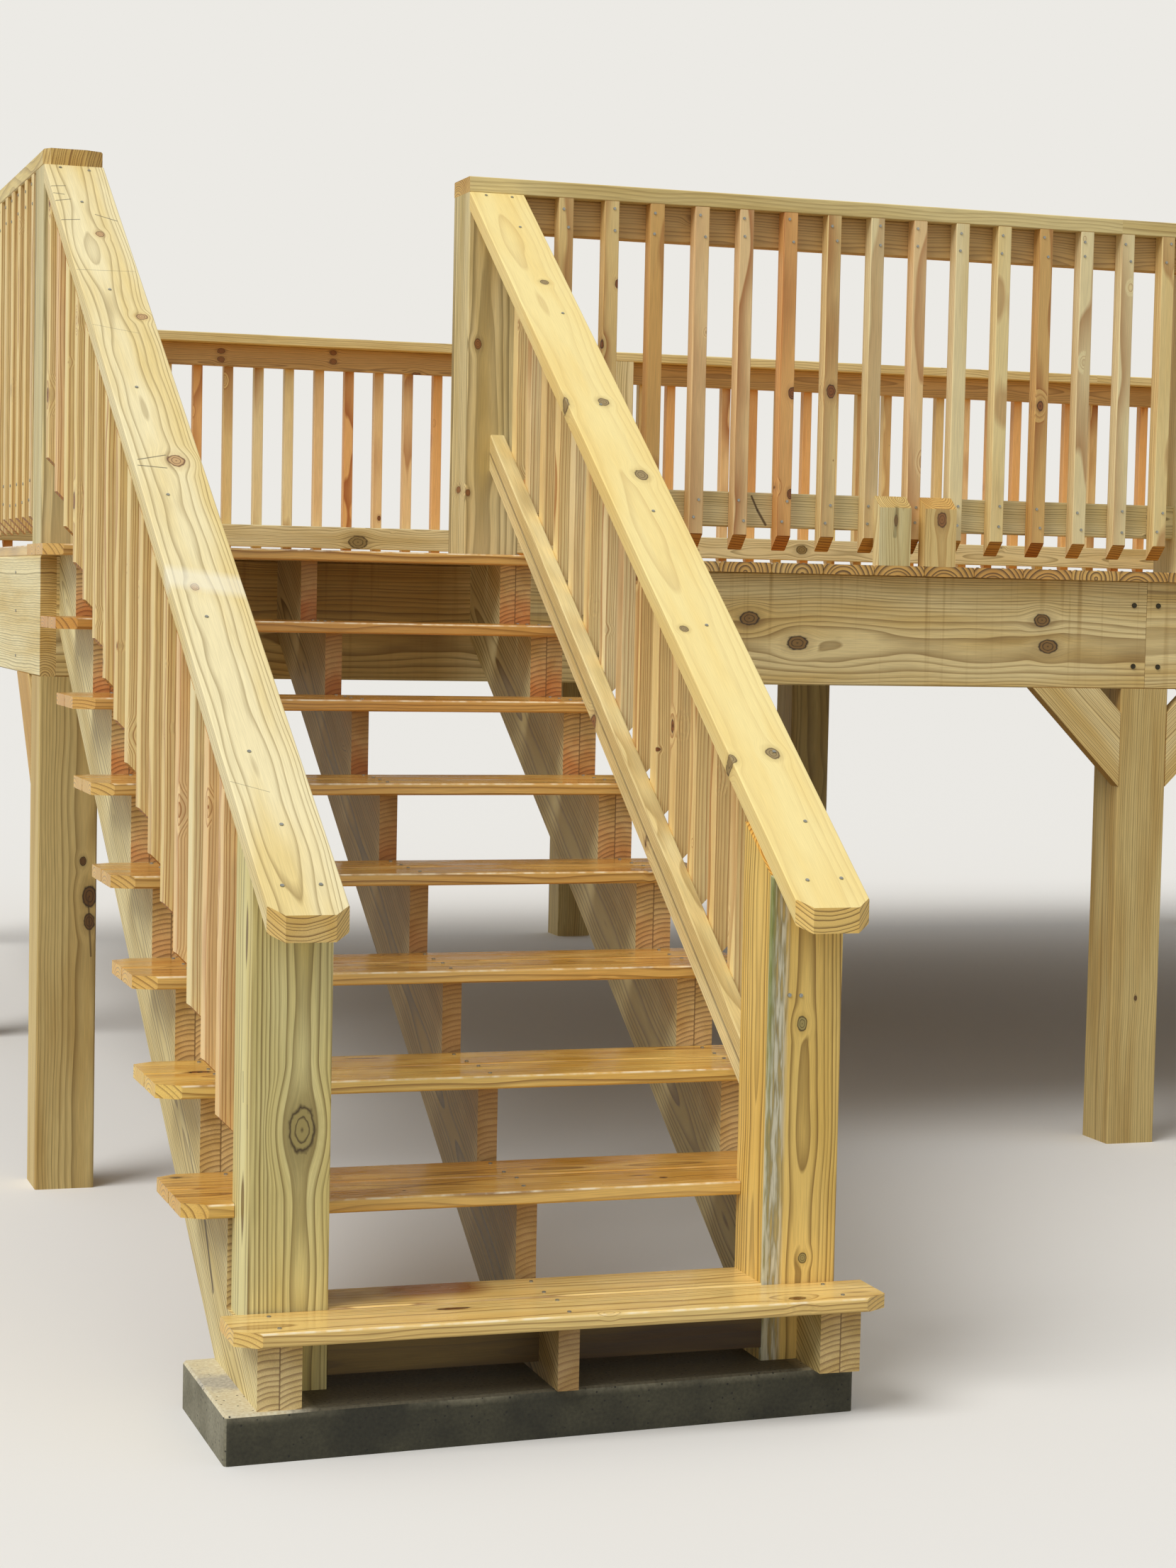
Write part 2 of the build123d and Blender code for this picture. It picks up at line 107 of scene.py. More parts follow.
# 1 where a surface is seen itself, also in metal and through glass, and 0 where it only sends light on
def seenItself(tree):
    path = add(tree, "LightPath", out="Is Camera Ray").node.outputs
    seen = add(tree, "Math", [path["Is Camera Ray"], path["Is Glossy Ray"]], operation="ADD")
    return add(tree, "Math", [seen, path["Is Transmission Ray"]], operation="ADD", use_clamp=True)


def addStudio(s):
    world = bpy.data.worlds.new("sky")
    bpy.context.scene.world = world
    world.use_nodes = True
    tree = world.node_tree
    tree.nodes.clear()
    light = add(tree, "Background", {"Color": "#ffffff", "Strength": s["sky"]})
    shown = add(tree, "Background", {"Color": s["backdrop"], "Strength": 1})
    add(tree, "OutputWorld", {"Surface": add(tree, "MixShader", [seenItself(tree), light, shown])})
    sun = bpy.data.objects.new("sun", bpy.data.lights.new("sun", "SUN"))
    sun.data.energy = s["sun"]
    sun.data.angle = s["softness"]
    sun.rotation_euler = Vector(s["toSun"]).to_track_quat("Z", "Y").to_euler()
    bpy.context.scene.collection.objects.link(sun)
    bpy.ops.object.select_all(action="DESELECT")
    bpy.ops.mesh.primitive_plane_add(size=s["floorSize"], location=(0, 0, 0))
    floor = bpy.context.object
    floor.name = "floor"
    material, tree, shader = newMaterial("paperFloor")
    colour = add(tree, "Mix", [seenItself(tree), s["floorBounce"], s["backdrop"]])
    feed(shader, {"Base Color": colour, "Roughness": s["floorRoughness"],
                  "Specular IOR Level": s["floorSpecular"]})
    floor.data.materials.append(material)


bpy.context.scene.view_settings.view_transform = "Standard"
addCamera(camera)
addStudio(studio)
print("camera and light ready")


# place on the object, in mm
def objectPlace(tree):
    return add(tree, "VectorMath", [add(tree, "TexCoord", out="Object"), 1 / mm], operation="SCALE")


# noise in patches of about the given size, in mm
def mottle(tree, place, size, detail=1):
    place = add(tree, "VectorMath", [place, [1 / side for side in size]], operation="MULTIPLY")
    return add(tree, "TexNoise", {"Vector": place, "Scale": 1, "Detail": detail})


# where all of the given masks hold
def overlap(tree, mask, *others):
    for other in others:
        mask = add(tree, "Math", [mask, other], operation="MULTIPLY")
    return mask


# how many pitches a value lies past the start
def pitches(tree, value, start, pitch):
    value = add(tree, "Math", [value, start], operation="SUBTRACT")
    return add(tree, "Math", [value, pitch], operation="DIVIDE")


# a surface point's place in its board, in mm: across it, through it and along it, with each board's chance
def boardSpace(tree, s):
    place = objectPlace(tree)
    normal = add(tree, "NewGeometry", out="True Normal")
    if s["turned"]:
        middle, reach = s["turned"]
        x, y, z = add(tree, "SeparateXYZ", [place]).node.outputs
        other = add(tree, "CombineXYZ", [y, x, z])
        beyond = add(tree, "Math", [x, middle], operation="SUBTRACT")
        beyond = add(tree, "Math", [beyond], operation="ABSOLUTE")
        beyond = add(tree, "Math", [beyond, reach], operation="GREATER_THAN")
        place = add(tree, "Mix", [beyond, place, other], data_type="VECTOR")
    if s["mirrored"]:
        x, y, z = add(tree, "SeparateXYZ", [place]).node.outputs
        beside = []
        for part, (start, half) in zip((x, y), s["mirrored"]):
            part = add(tree, "Math", [part, start], operation="SUBTRACT")
            beside.append(add(tree, "Math", [part, half], operation="PINGPONG"))
        beside = add(tree, "Math", beside, operation="ADD")
        place = add(tree, "CombineXYZ", [beside, 0, z])
    along = Vector(s["along"]).normalized()
    across = Vector(s["across"])
    across = (across - along * across.dot(along)).normalized()
    axes = (across, along.cross(across), along)
    parts = [add(tree, "VectorMath", [place, axis], operation="DOT_PRODUCT") for axis in axes]
    if s["flight"]:
        start, stepRise, stepRun = s["flight"]
        level = add(tree, "Math", [pitches(tree, parts[1], start, stepRise)], operation="FLOOR")
        parts[0] = add(tree, "Math", [level, -stepRun, parts[0]], operation="MULTIPLY_ADD")
    counts, centres = [], []
    for part, (start, pitch) in zip(parts, (*s["cells"], everyBoard, everyBoard, everyBoard)):
        count = add(tree, "Math", [pitches(tree, part, start, pitch)], operation="FLOOR")
        counts.append(count)
        first = start + pitch / 2
        centres.append(add(tree, "Math", [count, pitch, first], operation="MULTIPLY_ADD"))
    board = add(tree, "CombineXYZ", counts)
    seeds = [s["seed"] * share for share in (1, 0.37, 0.71)]  # no two materials share a chance
    board = add(tree, "VectorMath", [board, seeds], operation="ADD")
    chance = add(tree, "TexWhiteNoise", {"Vector": board}, out="Color", noise_dimensions="3D")
    point = add(tree, "CombineXYZ", parts)
    middle = add(tree, "CombineXYZ", [centres[0], centres[1], 0])
    facing = add(tree, "VectorMath", [normal, along], operation="DOT_PRODUCT")
    facing = add(tree, "Math", [facing], operation="ABSOLUTE")
    sawn = add(tree, "MapRange", {"Value": facing, "From": s["endFacing"]})
    return {"tree": tree, "axes": axes, "point": point, "middle": middle, "counts": counts, "chance": chance,
            "sawn": sawn, "normal": normal, "place": place, "flight": s["flight"]}


# a place on the object, in mm, as its board's own coordinates
def inBoard(space, at):
    across, through, along = [Vector(at).dot(axis) for axis in space["axes"]]
    if space["flight"]:
        start, stepRise, stepRun = space["flight"]
        across -= stepRun * math.floor((through - start) / stepRise)
    return Vector((across, through, along))


# every knot's ragged rim in mm, and its pull on the grain, halo, fade and rings, counted in its own radii
knotLook = {"ragged": (9, 9, 14), "rim": (0.8, 1.2), "pull": 0.85, "pullReach": (0.5, 3.4),
            "squash": (1, 0.4, 0.65), "halo": 0.3, "haloReach": (1, 2), "fade": (0.95, 1.12),
            "heart": (0.16, 0.45, 0.62, 0.8), "edge": (0, 0.55, 0.92)}


# the grain bent round knots, listed one by one or come by chance, and how near the nearest knot is
def growKnots(space, s):
    tree, look = space["tree"], knotLook
    found = []
    if s["knots"] or s["strayKnots"]:
        ragged = mottle(tree, space["point"], look["ragged"])
        ragged = add(tree, "MapRange", {"Value": ragged, "To": look["rim"]})
    for knot in s["knots"]:
        reach = knot["radius"]
        scale = (1 / reach, knot["depth"] / reach, 1 / (reach * knot["stretch"]))
        spot = inBoard(space, knot["at"])
        offset = add(tree, "VectorMath", [space["point"], spot], operation="SUBTRACT")
        near = add(tree, "VectorMath", [offset, scale], operation="MULTIPLY")
        near = add(tree, "VectorMath", [near], operation="LENGTH")
        found.append((offset, near))
    if s["strayKnots"]:
        spacing, radius, share = s["strayKnots"]
        spot = add(tree, "VectorMath", [space["chance"], s["knotShift"]], operation="SCALE")
        spot = add(tree, "VectorMath", [space["point"], spot], operation="ADD")
        spot = add(tree, "VectorMath", [spot, [1 / side for side in spacing]], operation="MULTIPLY")
        cell = add(tree, "TexVoronoi", {"Vector": spot, "Scale": 1}).node.outputs
        offset = add(tree, "VectorMath", [spot, cell["Position"]], operation="SUBTRACT")
        offset = add(tree, "VectorMath", [offset, spacing], operation="MULTIPLY")
        luck = add(tree, "SeparateColor", [cell["Color"]], out="Red")
        reach = add(tree, "MapRange", {"Value": luck, "From": (1 - share, 1), "To": (0.01, radius)})
        near = add(tree, "VectorMath", [offset, look["squash"]], operation="MULTIPLY")
        near = add(tree, "VectorMath", [near], operation="LENGTH")
        near = add(tree, "Math", [near, reach], operation="DIVIDE")
        found.append((offset, near))
    bent, nearest = space["point"], None
    for offset, near in found:
        pull = add(tree, "MapRange", {"Value": near, "From": look["pullReach"], "To": (look["pull"], 0)},
                   interpolation_type="SMOOTHSTEP")
        shift = add(tree, "VectorMath", [offset, pull], operation="SCALE")
        bent = add(tree, "VectorMath", [bent, shift], operation="SUBTRACT")
        near = overlap(tree, near, ragged)
        nearest = near if nearest is None else add(tree, "Math", [nearest, near], operation="MINIMUM")
    return bent, nearest


# knots on the colour of the wood: a halo, a dark edge and a heart with one dark ring
def drawKnots(tree, s, colour, nearest):
    look = knotLook
    halo = add(tree, "MapRange", {"Value": nearest, "From": look["haloReach"], "To": (look["halo"], 0)})
    colour = add(tree, "Mix", [halo, colour, s["knotColour"]], blend_type="MULTIPLY")
    stops = [(at, linear(s["knotColour"])) for at in look["heart"]]
    stops += [(at, linear(s["knotEdge"])) for at in look["edge"]]
    eye = add(tree, "ValToRGB", [nearest], stops=sorted(stops))
    inside = add(tree, "MapRange", {"Value": nearest, "From": look["fade"], "To": (1, 0)})
    return add(tree, "Mix", [inside, colour, eye])


# growth rings round a pith that wanders along the board: loops on its faces, arcs on its ends
def growRings(space, s, bent):
    tree = space["tree"]
    local = add(tree, "VectorMath", [bent, space["middle"]], operation="SUBTRACT")
    drift = add(tree, "VectorMath", [space["chance"], (0.5, 0.5, 0)], operation="SUBTRACT")
    drift = add(tree, "VectorMath", [drift, (*s["pithSpread"], -s["shift"])], operation="MULTIPLY")
    drift = add(tree, "VectorMath", [drift, (*s["pith"], 0)], operation="ADD")
    local = add(tree, "VectorMath", [local, drift], operation="SUBTRACT")
    length = add(tree, "SeparateXYZ", [local], out="Z")
    length = add(tree, "Math", [length, 1 / s["wanderLength"]], operation="MULTIPLY")
    wander = add(tree, "TexNoise", {"W": length, "Scale": 1, "Detail": 1}, out="Color", noise_dimensions="1D")
    wander = add(tree, "VectorMath", [wander, (0.5, 0.5, 0.5)], operation="SUBTRACT")
    swing = (2 * s["wander"], 2 * s["wander"], 0)
    wander = add(tree, "VectorMath", [wander, swing], operation="MULTIPLY")
    flat = add(tree, "VectorMath", [local, (1, 1, 0)], operation="MULTIPLY")
    flat = add(tree, "VectorMath", [flat, wander], operation="ADD")
    radius = add(tree, "VectorMath", [flat], operation="LENGTH")
    wavy = mottle(tree, local, s["waves"])
    radius = add(tree, "Math", [wavy, s["wobble"], radius], operation="MULTIPLY_ADD")
    rings = add(tree, "Math", [radius, 1 / s["ringWidth"]], operation="MULTIPLY")
    uneven = add(tree, "TexNoise", {"W": rings, "Scale": s["unevenScale"], "Detail": 1},
                 noise_dimensions="1D")
    rings = add(tree, "Math", [uneven, s["uneven"], rings], operation="MULTIPLY_ADD")
    count = add(tree, "Math", [rings], operation="FLOOR")
    phase = add(tree, "Math", [rings], operation="FRACT")
    yearly = add(tree, "TexWhiteNoise", {"W": count}, noise_dimensions="1D")
    return local, phase, yearly


# a thin line of another colour from one place to another, such as a split or a pencil mark
def drawLine(space, colour, line):
    tree = space["tree"]
    start = inBoard(space, line["from"])
    reach = inBoard(space, line["to"]) - start
    offset = add(tree, "VectorMath", [space["point"], start], operation="SUBTRACT")
    share = add(tree, "VectorMath", [offset, reach / reach.length_squared], operation="DOT_PRODUCT")
    share = add(tree, "Math", [share, 0], operation="ADD", use_clamp=True)
    nearestPoint = add(tree, "VectorMath", [reach, share], operation="SCALE")
    gap = add(tree, "VectorMath", [offset, nearestPoint], operation="SUBTRACT")
    gap = add(tree, "VectorMath", [gap], operation="LENGTH")
    soft = (line["width"] * 0.3, line["width"] * 0.75)  # where it fades out
    ink = add(tree, "MapRange", {"Value": gap, "From": soft, "To": (line["ink"], 0)})
    return add(tree, "Mix", [ink, colour, line["colour"]])


# southern yellow pine, planed and pressure treated: pale early wood, thin amber late wood, dull sheen
everyBoard = (-5000, 10000)
pineBase = {
    "along": (0, 0, 1), "across": (1, 0, 0),  # the grain's direction and the board's width
    "cells": (), "seed": 1,  # where boards start and how far apart they are, across, through and along
    "flight": None, "turned": None, "mirrored": None,  # boards that step up, turn a corner or lean both ways
    "pith": (0, 60), "pithSpread": (60, 40), "shift": 4000,  # the heart's place from the board's middle
    "wander": 7, "wanderLength": 420, "wobble": 5, "waves": (45, 45, 260),  # how it and the rings wave
    "ringWidth": 5.5, "uneven": 1.8, "unevenScale": 0.31, "lateShare": 0.35,
    "contrast": 0.8, "early": "#f0dca4", "late": "#b98f4b",
    "cast": "#d9c58c", "castShare": 0.5, "castPatch": (70, 70, 650), "castRange": (0.42, 0.66),
    "end": "#f0dcb8", "endLate": "#8a6230", "endContrast": 0.85, "endFacing": (0.35, 0.7),
    "tints": ("#ffffff",), "tintBy": None, "shuffle": 7.13,  # one a board, by chance or axis and first cell
    "fibre": 0.14, "fibreSize": (1.4, 1.4, 60),  # drawn three times as wide as they are, so that they show
    "knots": (), "strayKnots": None,  # those listed one by one, and the spacing, largest radius and share of others
    "knotShift": 900, "knotColour": "#9a6a3c", "knotEdge": "#5a3c20", "lines": (),
    "roughness": 0.62, "polish": 0.12, "bump": 0.3, "relief": 0.0005, "finish": None}


def pine(name, **changes):
    s = {**pineBase, **changes}
    material, tree, shader = newMaterial(name)
    space = boardSpace(tree, s)
    bent, nearest = growKnots(space, s)
    local, phase, yearly = growRings(space, s, bent)
    share = s["lateShare"]
    greys = ((0, 0), (1 - share * 1.6, 0.06), (1 - share * 0.55, 0.75), (0.94, 1), (1, 0.05))
    late = add(tree, "ValToRGB", [phase], stops=[(at, (value, value, value, 1)) for at, value in greys])
    strength = add(tree, "MapRange", {"Value": yearly, "To": (s["contrast"] * 0.45, s["contrast"])})
    strength = add(tree, "Mix", [space["sawn"], strength, s["endContrast"]], data_type="FLOAT")
    late = overlap(tree, late, strength)
    darker = add(tree, "Mix", [space["sawn"], s["late"], s["endLate"]])
    colour = add(tree, "Mix", [late, s["early"], darker])
    broad = mottle(tree, local, s["castPatch"], 2)
    broad = add(tree, "MapRange", {"Value": broad, "From": s["castRange"], "To": (0, s["castShare"])})
    colour = add(tree, "Mix", [broad, colour, s["cast"]], blend_type="MULTIPLY")
    fibre = mottle(tree, local, s["fibreSize"])
    grey = add(tree, "MapRange", {"Value": fibre, "From": (0.3, 0.7),
                                  "To": (1 - s["fibre"], 1 + s["fibre"] * 0.4)})
    colour = add(tree, "VectorMath", [colour, grey], operation="SCALE")
    colour = add(tree, "Mix", [space["sawn"], colour, s["end"]], blend_type="MULTIPLY")
    if len(s["tints"]) > 1:
        if s["tintBy"]:
            axis, first = s["tintBy"]
            pick = add(tree, "Math", [space["counts"][axis], 0.5 - first], operation="ADD")
            pick = add(tree, "Math", [pick, 1 / len(s["tints"])], operation="MULTIPLY")
        else:
            pick = add(tree, "SeparateColor", [space["chance"]], out="Blue")
            pick = add(tree, "Math", [pick, s["shuffle"]], operation="MULTIPLY")
        pick = add(tree, "Math", [pick], operation="FRACT")
        stops = [(i / len(s["tints"]), linear(tint)) for i, tint in enumerate(s["tints"])]
        tint = add(tree, "ValToRGB", [pick], stops=stops)
        tint.node.color_ramp.interpolation = "CONSTANT"
        colour = add(tree, "Mix", [1, colour, tint], blend_type="MULTIPLY")
    if nearest is not None:
        colour = drawKnots(tree, s, colour, nearest)
    for line in s["lines"]:
        colour = drawLine(space, colour, line)
    rough = add(tree, "MapRange", {"Value": late, "To": (s["roughness"], s["roughness"] - s["polish"])})
    if s["finish"]:
        colour, rough = s["finish"](space, colour, rough)
    bump = add(tree, "Bump", {"Strength": s["bump"], "Distance": s["relief"], "Height": fibre})
    feed(shader, {"Base Color": colour, "Roughness": rough, "Normal": bump})
    return material


def dress(material, *names):
    for name in names:
        nodes[name].material_slots[0].material = material


# the flight's steps and rake, in mm, and how far its railing spreads towards the deck
steps = 9
rise, run, stepFoot, firstTop, deckTop = 164.3, 257, -235, 223.9, 1538.3
slope, spread = 0.64688, 0.0216
rakeLeft, rakeRight = (-spread, 1, slope), (spread, 1, slope)


# what is set on a board one by one: its place on the object and its size, in mm, and how strongly it shows
def knot(x, y, z, radius, stretch=1.4, depth=0.3):
    return {"at": (x, y, z), "radius": radius, "stretch": stretch, "depth": depth}


def stroke(colour, x0, y0, z0, x1, y1, z1, width=3, ink=0.85):
    return {"colour": colour, "from": (x0, y0, z0), "to": (x1, y1, z1), "width": width, "ink": ink}


def pencil(*ends):
    return stroke("#5f5a48", *ends)


def split(*ends):
    return stroke("#4a3216", *ends)


# left cap: flat-sawn board, pale, with few wide loops, and the marks it was laid out by
capLeft = pine(
    "treatedPineLeftCap", along=rakeLeft, seed=3, pith=(-478, -1000), pithSpread=(0, 0), wander=5,
    ringWidth=5.6, lateShare=0.22, contrast=1, endContrast=1, early="#faebb8", late="#8f743a",
    endLate="#6e4c1e", cast="#efdc9e", castShare=0.6, end="#f8e2b8", fibre=0.1, knotColour="#cca672",
    knotEdge="#6b4526",
    knots=(knot(-502, 1823, 2238, 9), knot(-461, 1499, 2028, 12, 1), knot(-476, 991, 1699, 17, 1.3),
           knot(-510, 601, 1447, 8)),
    lines=(pencil(-597, 2017, 2363, -552, 2023, 2367), pencil(-591, 1990, 2346, -560, 1985, 2342),
           pencil(-586, 1955, 2323, -548, 1965, 2330), pencil(-592, 1873, 2270, -540, 1880, 2275),
           pencil(-500, 1905, 2291, -454, 1882, 2276), pencil(-577, 1672, 2140, -447, 1676, 2143, 2, 0.5),
           pencil(-605, 1470, 2009, -479, 1436, 1987, 2, 0.4), pencil(-553, 991, 1699, -495, 1008, 1711),
           pencil(-556, 972, 1687, -500, 966, 1683), pencil(-571, 97, 1121, -479, 60, 1097, 1.6, 0.5),
           stroke("#fffbe6", -590, 640, 1472, -400, 600, 1446, 60, 0.45)))
dress(capLeft, "stair_cap_left")

# right cap: paler grain and a deeper yellow, with greyish knots in a row
capRight = pine(
    "treatedPineRightCap", along=rakeRight, seed=5, pith=(445, -1030), pithSpread=(0, 0), wander=6,
    wanderLength=600, ringWidth=7.5, lateShare=0.25, contrast=0.35, endContrast=1, early="#fde8a0",
    endLate="#6e5426", cast="#f4da92", castShare=0.35, end="#ffeccc", fibre=0.07, knotColour="#a08a5c",
    knotEdge="#5f4c2c",
    knots=(knot(522, 1726, 2175, 10, 1.1), knot(422, 1255, 1869, 12, 2.2), knot(516, 1256, 1871, 12, 1.3),
           knot(517, 997, 1703, 14, 1.4), knot(440, 506, 1386, 9, 1.2), knot(404, 145, 1152, 12, 1.2),
           knot(494, 159, 1161, 13, 1.3)))
dress(capRight, "stair_cap_right")

# foot newels: the left one greenish with a big knot, the right one golden, with a worn, green-stained arris
arrisWear = {"rightOf": 396, "before": -85, "reach": (424, 436), "streaks": (5, 5, 70),
             "greyRange": (0.42, 0.58), "greys": ("#8f8b6c", "#e0dcc4"),
             "wearRange": (0.3, 0.5), "wear": (0.45, 0.95), "green": "#84904a",
             "greenReach": (308, 318), "greenInk": 0.8, "greenFrom": (500, 800), "greenLow": 0.25}


def weatheredArris(space, colour, rough):
    tree, s = space["tree"], arrisWear
    x, y, z = add(tree, "SeparateXYZ", [space["place"]]).node.outputs
    near = add(tree, "MapRange", {"Value": x, "From": s["reach"], "To": (1, 0)})
    right = add(tree, "Math", [x, s["rightOf"]], operation="GREATER_THAN")
    front = add(tree, "Math", [y, s["before"]], operation="LESS_THAN")
    worn = mottle(tree, space["place"], s["streaks"], 3)
    streaks = add(tree, "MapRange", {"Value": worn, "From": s["greyRange"]})
    grey = add(tree, "Mix", [streaks, s["greys"][0], s["greys"][1]])
    worn = add(tree, "MapRange", {"Value": worn, "From": s["wearRange"], "To": s["wear"]})
    colour = add(tree, "Mix", [overlap(tree, near, right, front, worn), colour, grey])
    reach = add(tree, "Math", [x, y], operation="ADD")
    green = add(tree, "MapRange", {"Value": reach, "From": s["greenReach"], "To": (s["greenInk"], 0)})
    high = add(tree, "MapRange", {"Value": z, "From": s["greenFrom"], "To": (s["greenLow"], 1)})
    green = overlap(tree, green, high, right)
    return add(tree, "Mix", [green, colour, s["green"]]), rough


footNewels = pine(
    "treatedPineFootNewels", cells=((-907, 918),), seed=2, pith=(0, -40), pithSpread=(6, 8), wander=5.5,
    wanderLength=380, wobble=4, ringWidth=6, lateShare=0.34, contrast=1, early="#fdf0ba", late="#7c5f26",
    cast="#e2d090", tints=("#f4f6e6", "#ffe9b4"), tintBy=(0, 0), knotColour="#a8985e", knotEdge="#4a3a1c",
    knots=(knot(-448, -93, 534, 22, 1.75), knot(462, -93, 692, 9, 1.5), knot(474, -93, 268, 8, 1.2)),
    lines=(split(-537, -30, 626, -537, -34, 575, 3, 0.9), split(-537, -68, 575, -537, -71, 536, 3, 0.9)),
    finish=weatheredArris)
dress(footNewels, "lower_newels")

# head newels: green-brown fronts with strong rings
headNewels = pine(
    "treatedPineHeadNewels", cells=((-1036, 1036),), seed=7, pith=(-25, 2240), pithSpread=(10, 10),
    wander=4, wanderLength=500, wobble=4, ringWidth=6.5, lateShare=0.38, contrast=1, early="#f4e6ae",
    late="#6a521e", cast="#cdbc80", castShare=0.6,
    knots=(knot(476, 2115, 2057, 9), knot(457, 2115, 1692, 6), knot(448, 2169, 1700, 6)))
dress(headNewels, "upper_newels")

# deck newels, of the same stock
bothWays = ((-1000, 1000), (1500, 1000))
deckNewels = pine(
    "treatedPineDeckNewels", cells=bothWays, seed=8, pith=(0, 30), pithSpread=(120, 120), wander=8,
    early="#f4e6b4", late="#8f763c", cast="#d9cc94", strayKnots=((150, 150, 420), 14, 0.5))
dress(deckNewels, "deck_newels")

# balusters: square stock, each from another board, so pale, tan, pink and orange ones stand side by side
pale, cream, tan, pink, orange, brown = "#fff4d4", "#fff9e6", "#f8e8c4", "#ffe8cc", "#fbd0a0", "#e8c694"
stick = {"pith": (60, 130), "pithSpread": (160, 70), "wander": 4, "wanderLength": 500, "wobble": 3,
         "ringWidth": 6.2, "lateShare": 0.34, "contrast": 1, "early": "#fff4cc", "late": "#b07438",
         "cast": "#f0d8a4", "castShare": 0.35, "end": "#d0a870", "strayKnots": ((60, 60, 520), 12, 0.35),
         "knotColour": "#8c5528", "knotEdge": "#40230f"}
frontSticks = pine(
    "treatedPineFrontBalusters", **stick, cells=((637.9, 120.1),), seed=11,
    knots=(knot(837, 2115, 2223, 8), knot(1313, 2115, 1971, 11), knot(1314, 2115, 1715, 9),
           knot(1419, 2115, 1980, 12)),
    tints=(tan, tan, brown, pink, pink, orange, pale, cream, pink, cream, pale, brown,
           cream, cream, pale, pale, tan, cream, pink, tan, pale, orange, cream, tan), tintBy=(0, 0))
dress(frontSticks, "deck_balusters_front")
rearSticks = pine("treatedPineRearBalusters", **stick, cells=((-468, 126),), seed=12,
                  tints=(pink, orange, tan, pale, cream, tan))
dress(rearSticks, "deck_balusters_rear")
sideSticks = pine("treatedPineSideBalusters", **stick, across=(0, 1, 0), cells=((2195, 120.1), (-3000, 3000)),
                  seed=13, tints=(cream, pink, pale, tan, cream, pale))
dress(sideSticks, "deck_balusters_left", "deck_balusters_right")
knottySticks = {**stick, "strayKnots": ((60, 60, 430), 13, 0.6)}
stairSticks = pine("treatedPineStairBalusters", **knottySticks, across=(0, 1, 0),
                   cells=((86, 125.7), (-3000, 3000)), seed=14, tints=(pale, pink, tan, cream, pink, pale))
dress(stairSticks, "stair_balusters_left", "stair_balusters_right")

# raked rails, with a dark seam between the two stacked lower ones, where rain has left dirt
seamDirt = {"through": (0, 46.9, 453), "reach": (2, 6), "ink": 0.85, "colour": "#6a5428"}
rakedRail = {"along": (0, 1, slope), "cells": ((-1000, 1000),), "pithSpread": (60, 60), "ringWidth": 6,
             "contrast": 0.6, "early": "#faeab0", "late": "#a8843e", "strayKnots": ((120, 120, 600), 13, 0.5)}


def darkSeam(space, colour, rough):
    tree, s = space["tree"], seamDirt
    height = add(tree, "VectorMath", [space["place"], s["through"]], operation="SUBTRACT")
    height = add(tree, "VectorMath", [height, (0, -slope, 1)], operation="DOT_PRODUCT")
    seam = add(tree, "Math", [height], operation="ABSOLUTE")
    seam = add(tree, "MapRange", {"Value": seam, "From": s["reach"], "To": (s["ink"], 0)})
    return add(tree, "Mix", [seam, colour, s["colour"]]), rough


dress(pine("treatedPineStairTopRails", **rakedRail, seed=21), "stair_top_rails")
dress(pine("treatedPineStairLowerRails", **rakedRail, seed=22), "stair_lower_rails_top")
dress(pine("treatedPineStairBaseRails", **rakedRail, seed=23, finish=darkSeam), "stair_lower_rails_base")

# level rails: the top ones a darker tan than the lower ones
levelRail = {"along": (1, 0, 0), "across": (0, 0, 1), "turned": (2460, 2920), "pithSpread": (120, 60),
             "cells": (everyBoard, (-4600, 4856), (-140, 2500)), "wander": 9,
             "strayKnots": ((160, 160, 480), 15, 0.6)}
topRails = pine(
    "treatedPineDeckTopRails", **levelRail, seed=24, pith=(2380, 40), early="#dab678", late="#7e5628",
    contrast=0.75,
    knots=(knot(815, 7009, 2397, 11), knot(815, 7009, 2363, 11), knot(1279, 7009, 2410, 10),
           knot(1280, 7009, 2375, 11)))
dress(topRails, "deck_top_rails")
lowerRails = pine(
    "treatedPineDeckLowerRails", **levelRail, seed=25, pith=(1660, 40), early="#f0e2ae", late="#86703a",
    knotColour="#8f7a48", knotEdge="#54421f",
    knots=(knot(1396, 7009, 1640, 26, 1.5), knot(3371, 7009, 1657, 18)),
    lines=(split(1223, 2153, 1707, 1240, 2153, 1672, 5, 0.9),
           split(1240, 2153, 1672, 1263, 2153, 1636, 6, 0.9)))
dress(lowerRails, "deck_lower_rails")

# level caps: flat-sawn boards with soft, wide loops
levelCap = {"pithSpread": (80, 20), "ringWidth": 6.5, "wander": 10, "contrast": 0.65, "early": "#f4e0a0",
            "late": "#94733a"}
dress(pine("treatedPineDeckCaps", **levelCap, along=(1, 0, 0), across=(0, 1, 0), seed=31, pith=(20, 2380),
           cells=((-230, 4830), everyBoard, (-260, 2500))), "deck_cap_front", "deck_cap_rear")
dress(pine("treatedPineSideCaps", **levelCap, along=(0, 1, 0), seed=32, pith=(0, -2380),
           cells=((-3000, 5500),)), "deck_side_caps")
print("railings dressed")

# treads: the same pine soaked by rain, so darker, amber and glossy on top, with a painted highlight along its
# arris: pale dashes that stand in for the sky's reflection on the wet edge
rain = {"facing": (0.3, 0.8), "pool": (160, 60, 60), "pools": (0.35, 0.65), "soaked": "#e2c894",
        "soaking": (0.5, 1), "open": (firstTop + 10, firstTop + 100), "sheltered": 0.2,
        "roughness": (0.3, 0.1), "highlightPatch": (26, 40, 40), "highlightRange": (0.4, 0.6), "highlightShare": (0.15, 0.9),
        "paintedHighlight": "#fff4d6", "front": (stepFoot + 10, stepFoot + 20), "frontHighlight": (0.8, 0.1)}


